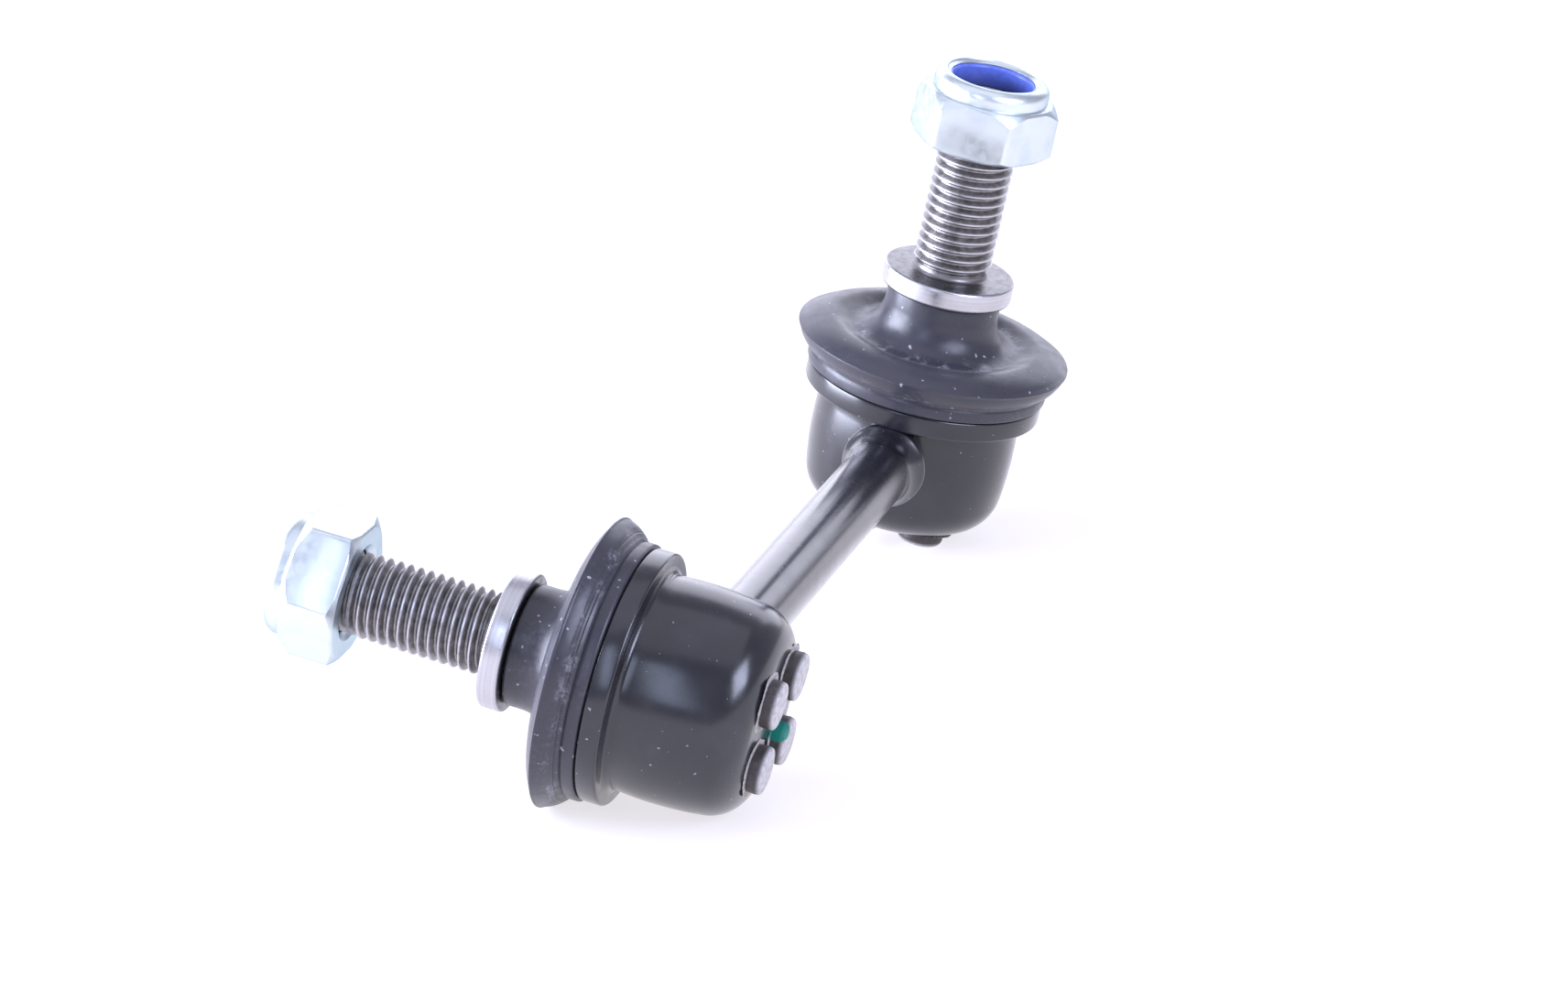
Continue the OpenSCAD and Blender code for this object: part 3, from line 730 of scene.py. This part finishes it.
class LINK_OT_rod(bpy.types.Operator):
    """Model the painted rod with the swelling beside each weld, cut to sit on the two cups"""
    bl_idname = "stabilizer_link.rod"
    bl_label = "Rod"

    def execute(self, context):
        link = context.scene.stabilizer_link
        s, h = link.rod, link.housing
        half = CENTRE_DISTANCE / 2
        crown, waist = s.radius + s.upset_rise, s.radius + s.waist_rise
        crown_z = half - h.cup_radius - 0.4 * s.upset_width
        end = [(s.radius, crown_z - s.upset_rise / tan(s.upset_slope), s.upset_blend),
               (crown, crown_z, s.upset_edge),
               (waist, crown_z + 0.52 * s.upset_width, s.waist_blend),
               (waist, half)]
        start = [(r, -z, *rest) for r, z, *rest in reversed(end)]
        rod = turned("painted_rod", rounded([(0.0, -half)] + start + end + [(0.0, half)], 12), 96)
        settled(rod, rod_place())
        for side in SIDES:
            cup = turned("cup_cut", rounded(cup_corners(h, s.weld_gap) + [(0.0, h.mouth_top)]), 128)
            combined(rod, settled(cup, PLACES[side]), "DIFFERENCE")
        smooth(rod, 32)
        rod.data.materials.append(paint_finish("rod_paint", rod_place(), link.colours, 1.0))
        fitted(rod, "link_rod", "link")
        return {"FINISHED"}


class LINK_OT_housings(bpy.types.Operator):
    """Model the two drawn cups with flange, mouth and the holes for the staked pegs"""
    bl_idname = "stabilizer_link.housings"
    bl_label = "Ball housings"

    def execute(self, context):
        link = context.scene.stabilizer_link
        h, seat = link.housing, link.seat
        inner_corner = h.corner - h.floor
        inner_floor = h.cup_bottom + h.floor
        outline = rounded(cup_corners(h) + [
            (h.cavity_radius, h.mouth_top, h.edge / 2), (h.cavity_radius, inner_floor, inner_corner),
            (0.0, inner_floor)])
        cup = turned("cup", outline, 160)
        clear_selection()
        bpy.ops.mesh.primitive_cylinder_add(vertices=48, radius=seat.peg_radius + seat.gap,
                                            depth=4 * h.floor, location=(0, 0, h.cup_bottom + h.floor / 2))
        drill = bpy.context.object
        pick(drill)
        bpy.ops.object.transform_apply(location=True, rotation=True, scale=True)
        drills = round_the_axis(drill, seat.pegs, seat.peg_circle)
        combined(cup, joined(*drills), "DIFFERENCE")
        smooth(cup, 30)
        for side, turn in zip(SIDES, (seat.front_turn, seat.rear_turn)):
            housing = settled(copied(cup, f"{side}_painted_cup"), PLACES[side], turn)
            housing.data.materials.append(paint_finish(f"{side}_cup_paint", PLACES[side], link.colours))
            fitted(housing, f"{side}_housing", "link")
        pick(cup)
        bpy.ops.object.delete()
        return {"FINISHED"}


class LINK_OT_ball_seats(bpy.types.Operator):
    """Model the plastic seats round the balls, their staked pegs and the flash round the heads"""
    bl_idname = "stabilizer_link.ball_seats"
    bl_label = "Ball seats"

    def execute(self, context):
        link = context.scene.stabilizer_link
        s, h = link.seat, link.housing
        bottom = h.cup_bottom + h.floor
        rim_r, rim_z = s.socket * cos(s.socket_rim), s.socket * sin(s.socket_rim)
        mouth_r = rim_r + (s.top - rim_z) * tan(s.mouth)
        corner = h.corner - h.floor - s.gap
        liner = turned("seat_liner", (
            arc((0, 0), (s.socket, s.socket), -pi / 2, s.socket_rim, 24)
            + rounded([(rim_r, rim_z), (mouth_r, s.top, s.mouth_edge), (s.radius, s.top, s.rim_edge),
                       (s.radius, bottom, corner), (0.0, bottom)])
            + [(0.0, -s.socket)]), 96)
        lowest = h.cup_bottom - s.head_height
        under = h.cup_bottom - s.gap
        peg_top = bottom + s.peg_root
        crowned_face = [(0.0, lowest), (s.head_radius * 0.72, lowest + 0.05 * MM),
                        (s.head_radius * 0.95, lowest + 0.16 * MM, s.head_edge / 2)]
        leaning_side = [(s.head_radius, lowest + 0.8 * MM, s.head_edge),
                        (s.head_radius * 0.97, under, 0.15 * MM)]
        shank = [(s.peg_radius, under), (s.peg_radius, peg_top), (0.0, peg_top)]
        peg = turned("staked_peg", rounded(crowned_face + leaning_side + shank), 40)
        pegs = round_the_axis(peg, s.pegs, s.peg_circle)
        clear_selection()
        bpy.ops.mesh.primitive_cylinder_add(vertices=22, radius=s.head_radius + s.flash, depth=s.flash_t,
                                            location=(0, 0, h.cup_bottom))
        ring = bpy.context.object
        ring.name = "flash"
        flashes = round_the_axis(settled(ring, ring.matrix_world.copy()), s.pegs, s.peg_circle)
        for seed, flash in enumerate(flashes):
            pick(flash)
            bpy.ops.object.mode_set(mode="EDIT")
            bpy.ops.mesh.select_all(action="SELECT")
            bpy.ops.transform.vertex_random(offset=s.flash_ragged, seed=seed + 3)
            bpy.ops.transform.resize(value=(1, 1, s.flash_flat), center_override=(0, 0, h.cup_bottom))
            bpy.ops.transform.translate(value=(0, 0, -0.02 * MM))
            bpy.ops.object.mode_set(mode="OBJECT")
            modified(flash, "SUBSURF", levels=2, render_levels=2)
        flash = joined(*flashes)
        liner = joined(liner, *pegs)
        for side, turn in zip(SIDES, (s.front_turn, s.rear_turn)):
            place = PLACES[side]
            mark = FRONT_MARK if side == "front" else None
            plastic = plastic_finish(f"{side}_seat_plastic", place, link.colours, s, h, mark)
            whitish = flash_finish(f"{side}_flash_plastic", place, link.colours, mark)
            seat = copied(liner, f"{side}_moulded_seat")
            seat.data.materials.append(plastic)
            squeezed = copied(flash, f"{side}_flash")
            squeezed.data.materials.append(whitish)
            settled(joined(seat, squeezed), place, turn)
            smooth(seat, 40)
            fitted(seat, f"{side}_ball_seat", "link")
        pick(liner, flash)
        bpy.ops.object.delete()
        return {"FINISHED"}


def thread(s):
    """A right-handed thread over the shank's length, trimmed to the undercut, lead-in and end chamfer."""
    depth = s.thread - s.thread_root
    first = s.undercut_top - 2 * s.pitch
    flank = depth * tan(pi / 6)
    crest = s.pitch / 7
    root = s.pitch - crest - 2 * flank
    ridge = [(s.thread_root, root / 2), (s.thread, root / 2 + flank)]
    mirrored = [(r, s.pitch - z) for r, z in reversed(ridge)]
    outline = [(s.thread_root, 0.0)] + ridge + mirrored + [(s.thread_root, s.pitch)]
    helix = drawn("thread", [(r, first + z) for r, z in outline])
    bpy.ops.object.mode_set(mode="OBJECT")
    turns = int((s.end - first) / s.pitch) + 3
    modified(helix, "SCREW", axis="Z", angle=2 * pi, screw_offset=s.pitch, iterations=turns, steps=56,
             render_steps=56, use_merge_vertices=True, merge_threshold=0.001 * MM, use_smooth_shade=False)
    bpy.ops.object.mode_set(mode="EDIT")
    bpy.ops.mesh.select_all(action="SELECT")
    bpy.ops.mesh.remove_doubles(threshold=0.001 * MM)
    bpy.ops.mesh.bisect(plane_co=(0, 0, s.undercut_top - 0.5 * s.pitch), plane_no=(0, 0, 1), use_fill=True,
                        clear_inner=True)
    bpy.ops.mesh.select_all(action="SELECT")
    bpy.ops.mesh.bisect(plane_co=(0, 0, s.end), plane_no=(0, 0, 1), use_fill=True, clear_outer=True)
    closed_up()
    outer = s.thread + 0.3 * MM
    start, stop = s.undercut_top - 0.4 * s.pitch, s.end - 0.02 * MM
    envelope = turned("thread_envelope", [
        (0.0, start), (s.undercut, start), (s.undercut, s.undercut_top),
        (outer, s.undercut_top + outer - s.undercut), (outer, s.lead_from - (outer - s.lead)),
        (s.lead, s.lead_from), (s.lead, s.end - s.end_chamfer), (s.lead - s.end_chamfer, stop),
        (0.0, stop)], 112)
    return combined(helix, envelope, "INTERSECT")


class LINK_OT_ball_studs(bpy.types.Operator):
    """Model the ball studs with ball, neck, collar, undercut and a cut thread"""
    bl_idname = "stabilizer_link.ball_studs"
    bl_label = "Ball studs"

    def execute(self, context):
        link = context.scene.stabilizer_link
        s = link.stud
        neck_z = (s.ball ** 2 - s.neck ** 2) ** 0.5
        collar_top = s.collar_z + s.collar_t
        core_top = s.undercut_top - 0.2 * MM
        body = turned("stud", (
            arc((0, 0), (s.ball, s.ball), -pi / 2, atan2(neck_z, s.neck), 40)
            + rounded([(s.neck, neck_z), (s.neck, s.taper_from, s.taper_blend),
                       (s.seat, s.seat_from, s.taper_blend), (s.seat, s.collar_z),
                       (s.collar, s.collar_z, s.collar_edge), (s.collar, collar_top, s.collar_edge),
                       (s.undercut, collar_top, s.foot), (s.undercut, core_top), (0.0, core_top)])), 128)
        combined(body, thread(s), "UNION")
        smooth(body, 28)
        for side in SIDES:
            stud = settled(copied(body, f"{side}_threaded_stud"), PLACES[side])
            stud.data.materials.append(steel_finish(f"{side}_stud_steel", PLACES[side], link.colours, s))
            fitted(stud, f"{side}_ball_stud", f"{side}_stud")
        pick(body)
        bpy.ops.object.delete()
        return {"FINISHED"}


class LINK_OT_dust_boots(bpy.types.Operator):
    """Model the rubber boots with bead, fold, parting line, shoulder and neck"""
    bl_idname = "stabilizer_link.dust_boots"
    bl_label = "Dust boots"

    def execute(self, context):
        link = context.scene.stabilizer_link
        s = link.boot
        rim, crease = (s.rim_radius, s.rim_z), (s.crease_radius, s.crease_z)
        roll, centre, radius, turn = bulged(rim, crease, s.bulge, 28)
        shoulder = []
        for r, z in roll:
            along = min((r - s.crease_radius) / s.valley_width, 1.0)
            shoulder.append((r, z - s.valley * (1 - along) ** 2 * (1 + 2 * along)))
        bead_round = s.bead_h / 2
        bead_top = s.bead_z + s.bead_h
        bead = arc((s.bead_radius - bead_round, bead_top - bead_round), (bead_round,) * 2, 0.0, s.fold, 5)
        foot = rounded([(s.bead_in, s.bead_z), (s.bead_radius, s.bead_z, s.bead_edge), bead[0]], 6)
        fold = bead[-1]
        under = bulged(fold, rim, s.under_bulge, 20)[0]
        inward = Vector((fold[1] - rim[1], rim[0] - fold[0])).normalized() * s.groove
        for step, depth in BOOT_GROOVES:
            under[step] = tuple(Vector(under[step]) + depth * inward)
        lip = s.lip / 2
        flare = (crease[0] - s.neck_radius, s.neck_from - shoulder[-1][1])
        inner_flare = (crease[0] - s.neck_in, s.neck_from - crease[1] + s.wall)
        cone = (Vector(rim) - Vector(fold)).normalized()
        inside = Vector((-cone.y, cone.x)) * s.wall
        inner_fold = Vector(fold) + inside
        thin = radius - s.wall
        base, neck = s.base_ring, s.neck_ring
        outer = (
            foot + bead[1:]
            + under[1:-2]
            + rounded([under[-2], (rim[0] + lip, rim[1] - 0.9 * lip, lip * 0.5),
                       (rim[0] + lip, rim[1] + 0.9 * lip, lip * 0.5), shoulder[2]], 4)
            + shoulder[3:]
            + arc((crease[0], s.neck_from), flare, -pi / 2, -pi, 20)[1:]
            + rounded([(s.neck_radius, s.neck_from), (s.neck_radius, s.top, s.top_edge),
                       (s.neck_in, s.top, 0.2 * MM), (s.neck_in, neck[2])])
        )
        inner = (
            [(neck[0], neck[2]), (neck[0], neck[1])]
            + arc((crease[0], s.neck_from), inner_flare, -pi, radians(-98), 16)
            + arc(centre, (thin, thin), turn[1], turn[0] + radians(12), 16)
            + [tuple(inner_fold), (s.bead_in, bead_top), (s.bead_in, base[2]), (base[0], base[2]),
               (base[0], base[1]), (s.bead_in, base[1]), (s.bead_in, s.bead_z)]
        )
        boot = smooth(turned("boot", outer + inner, 160), 45)
        for side in SIDES:
            place = PLACES[side]
            rubber = settled(copied(boot, f"{side}_rubber_boot"), place)
            rubber.data.materials.append(rubber_finish(f"{side}_boot_rubber", place, link.colours, s))
            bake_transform(rubber)
            fitted(rubber, f"{side}_dust_boot")
        pick(boot)
        bpy.ops.object.delete()
        return {"FINISHED"}


class LINK_OT_boot_rings(bpy.types.Operator):
    """Give the steel rings in the boots their finish"""
    bl_idname = "stabilizer_link.boot_rings"
    bl_label = "Boot rings"

    def execute(self, context):
        colours = context.scene.stabilizer_link.colours
        for side in SIDES:
            steel = ring_finish(f"{side}_ring_steel", PLACES[side], colours)
            for kind in ("base", "neck"):
                ring = frame["nodes"][f"{side}_boot_{kind}_ring"]
                ring.data.materials.clear()
                ring.data.materials.append(steel)
        return {"FINISHED"}


class LINK_OT_lock_nuts(bpy.types.Operator):
    """Model the zinc lock nuts: chamfered hexagon, crimped collar, insert pocket and countersunk bore"""
    bl_idname = "stabilizer_link.lock_nuts"
    bl_label = "Lock nuts"

    def execute(self, context):
        link = context.scene.stabilizer_link
        s = link.nut
        corner = s.flats / 2 / cos(pi / 6)
        reach = corner + 0.3 * MM
        clear_selection()
        bpy.ops.mesh.primitive_cylinder_add(vertices=6, radius=corner, depth=s.hex_h,
                                            location=(0, 0, s.hex_h / 2), rotation=(0, 0, pi / 6))
        nut = bpy.context.object
        nut.name = nut.data.name = "nut"
        bpy.ops.object.transform_apply(location=True, rotation=True, scale=True)
        bpy.ops.object.mode_set(mode="EDIT")
        bpy.ops.mesh.select_all(action="DESELECT")
        bpy.ops.object.mode_set(mode="OBJECT")
        for edge in nut.data.edges:
            ends = [nut.data.vertices[i].co for i in edge.vertices]
            edge.select = abs(ends[0].z - ends[1].z) > s.hex_h / 2
        bpy.ops.object.mode_set(mode="EDIT")
        bpy.ops.mesh.select_mode(type="EDGE")
        bpy.ops.mesh.bevel(offset=s.corner, segments=4, affect="EDGES")
        bpy.ops.mesh.select_mode(type="VERT")
        bpy.ops.object.mode_set(mode="OBJECT")
        flat = s.flats / 2 * 0.985
        cone = turned("chamfer_cut", rounded([
            (0.0, 0.0), (flat, 0.0, s.foot_edge), (reach, (reach - flat) * tan(s.chamfer)),
            (reach, s.hex_h - (reach - flat) * tan(s.top_chamfer)), (flat, s.hex_h, s.top_edge),
            (0.0, s.hex_h)], 5), 120)
        combined(nut, cone, "INTERSECT")
        collar = turned("collar", rounded([
            (0.0, s.hex_h * 0.5), (s.collar_radius, s.hex_h * 0.5), (s.collar_radius, s.height, s.crimp),
            (0.0, s.height)], 12), 120)
        combined(nut, collar, "UNION")
        top = s.height - s.crimp_t
        low = top - s.insert_h - 2 * s.insert_gap
        pocket = s.insert_radius + s.insert_gap
        cutter = turned("bore_cut", rounded([
            (0.0, -MM), (s.bore + s.countersink + MM, -MM), (s.bore, s.countersink), (s.bore, low),
            (pocket, low), (pocket, top), (s.lip, top), (s.lip, top + 0.1 * MM),
            (s.opening, s.height - 0.15 * MM, 0.5 * MM), (s.opening + 0.3 * MM, s.height + MM),
            (0.0, s.height + MM)], 6), 120)
        combined(nut, cutter, "DIFFERENCE")
        modified(nut, "BEVEL", width=s.edge, segments=2, limit_method="ANGLE", angle_limit=radians(35),
                 use_clamp_overlap=True)
        smooth(nut, 30)
        for side, turn, height in zip(SIDES, (s.front_turn, s.rear_turn), (s.front_z, s.rear_z)):
            piece = settled(copied(nut, f"{side}_zinc_nut"), PLACES[side], turn, height)
            piece.data.materials.append(zinc_finish(f"{side}_nut_zinc", PLACES[side], link.colours))
            fitted(piece, f"{side}_lock_nut", f"{side}_nut")
        pick(nut)
        bpy.ops.object.delete()
        return {"FINISHED"}


class LINK_OT_nut_inserts(bpy.types.Operator):
    """Model the blue nylon rings in the collars of the nuts"""
    bl_idname = "stabilizer_link.nut_inserts"
    bl_label = "Nut inserts"

    def execute(self, context):
        link = context.scene.stabilizer_link
        s = link.nut
        top = s.height - s.crimp_t - s.insert_gap
        low = top - s.insert_h
        ring = turned("ring", rounded([
            (s.bore, (low + top) / 2), (s.bore, low, 0.35 * MM), (s.insert_radius, low, 0.2 * MM),
            (s.insert_radius, top, 0.3 * MM), (s.bore, top, 0.42 * MM), (s.bore, (low + top) / 2)], 6), 120)
        smooth(ring, 40)
        for side, height in zip(SIDES, (s.front_z, s.rear_z)):
            nylon = nylon_finish(f"{side}_insert_nylon", PLACES[side], link.colours, s, height)
            insert = settled(copied(ring, f"{side}_nylon_insert"), PLACES[side], 0.0, height)
            insert.data.materials.append(nylon)
            fitted(insert, f"{side}_nut_insert", f"{side}_insert")
        pick(ring)
        bpy.ops.object.delete()
        return {"FINISHED"}


class LINK_OT_stage(bpy.types.Operator):
    """Set up the pale floor, the white surroundings, the soft boxes and the camera"""
    bl_idname = "stabilizer_link.stage"
    bl_label = "Stage"

    def execute(self, context):
        link = context.scene.stabilizer_link
        s = link.stage
        clear_selection()
        bpy.ops.mesh.primitive_plane_add(size=8.0)
        floor = bpy.context.object
        floor.name = "studio_floor"
        f = Finish("floor_white", Matrix.Identity(4))
        f.set({"Base Color": link.colours.floor, "Roughness": 0.85, "Specular IOR Level": 0.2,
               "Emission Color": s.glow_tint, "Emission Strength": s.glow})
        floor.data.materials.append(f.material)

        world = bpy.data.worlds.new("white_studio")
        world.use_nodes = True
        surroundings = world.node_tree.nodes["Background"]
        surroundings.inputs["Color"].default_value = (*s.sky_tint, 1.0)
        surroundings.inputs["Strength"].default_value = s.sky
        context.scene.world = world
        context.scene.view_settings.view_transform = "Standard"

        axes = link_axes()
        view = axes @ Matrix.Translation(s.camera_place) @ Euler(s.camera_turn).to_matrix().to_4x4()
        bpy.ops.object.camera_add()
        camera = bpy.context.object
        camera.matrix_world = view
        camera.data.lens = s.lens
        camera.data.sensor_width = 36.0
        camera.data.clip_start = 0.01
        context.scene.camera = camera

        middle = (PLACES["front"].translation + PLACES["rear"].translation) / 2
        right, rise, back = (view.col[i].to_3d() for i in range(3))
        up = Vector((0, 0, 1))
        away = up.cross(right)
        # Name, place from the link's middle, size, power and tint of each soft box
        boxes = (
            ("left_box", -0.55 * right + 0.17 * up, (0.45, 0.42), s.side, (0.76, 0.80, 1.0)),
            ("right_box", 0.45 * right + 0.19 * rise + 0.5 * back, (0.34, 0.34), s.right,
             (0.70, 0.75, 1.0)),
            ("top_box", 0.85 * up + 0.1 * back, (1.1, 0.9), s.top, (0.84, 0.86, 1.0)),
            ("back_box", 0.95 * away + 0.4 * up, (1.7, 0.8), s.back, (0.85, 0.86, 1.0)),
            ("front_box", -0.22 * right + 0.1 * rise + 0.62 * back, (0.12, 0.38), s.front,
             (0.64, 0.73, 1.0)),
        )
        for name, offset, size, power, tint in boxes:
            bpy.ops.object.light_add(type="AREA", location=middle + offset)
            box = bpy.context.object
            box.name = name
            box.rotation_euler = offset.to_track_quat("Z", "Y").to_euler()
            box.data.shape = "RECTANGLE"
            box.data.size, box.data.size_y = size
            box.data.energy = power
            box.data.color = tint
            box.visible_camera = False
        return {"FINISHED"}


PIECES = (LINK_OT_rod, LINK_OT_housings, LINK_OT_ball_seats, LINK_OT_ball_studs, LINK_OT_dust_boots,
          LINK_OT_boot_rings, LINK_OT_lock_nuts, LINK_OT_nut_inserts, LINK_OT_stage)


class LINK_PT_panel(bpy.types.Panel):
    """Lists the pieces of the link in the sidebar"""
    bl_idname = "LINK_PT_panel"
    bl_label = "Stabilizer link"
    bl_space_type = "VIEW_3D"
    bl_region_type = "UI"
    bl_category = "Link"

    def draw(self, context):
        for piece in PIECES:
            self.layout.operator(piece.bl_idname)
        for name in LinkSettings.__annotations__:
            group = getattr(context.scene.stabilizer_link, name)
            box = self.layout.box()
            box.label(text=name.capitalize())
            for setting in type(group).__annotations__:
                box.prop(group, setting)


CLASSES = (RodSizes, HousingSizes, SeatSizes, StudSizes, BootSizes, NutSizes, Colours, StageSettings,
           LinkSettings, *PIECES, LINK_PT_panel)


def register():
    for cls in CLASSES:
        bpy.utils.register_class(cls)
    bpy.types.Scene.stabilizer_link = PointerProperty(type=LinkSettings)


def unregister():
    del bpy.types.Scene.stabilizer_link
    for cls in reversed(CLASSES):
        bpy.utils.unregister_class(cls)


def main():
    register()
    bpy.ops.stabilizer_link.rod()
    bpy.ops.stabilizer_link.housings()
    bpy.ops.stabilizer_link.ball_seats()
    bpy.ops.stabilizer_link.ball_studs()
    bpy.ops.stabilizer_link.dust_boots()
    bpy.ops.stabilizer_link.boot_rings()
    bpy.ops.stabilizer_link.lock_nuts()
    bpy.ops.stabilizer_link.nut_inserts()
    bpy.ops.stabilizer_link.stage()


if __name__ == "__main__":
    main()
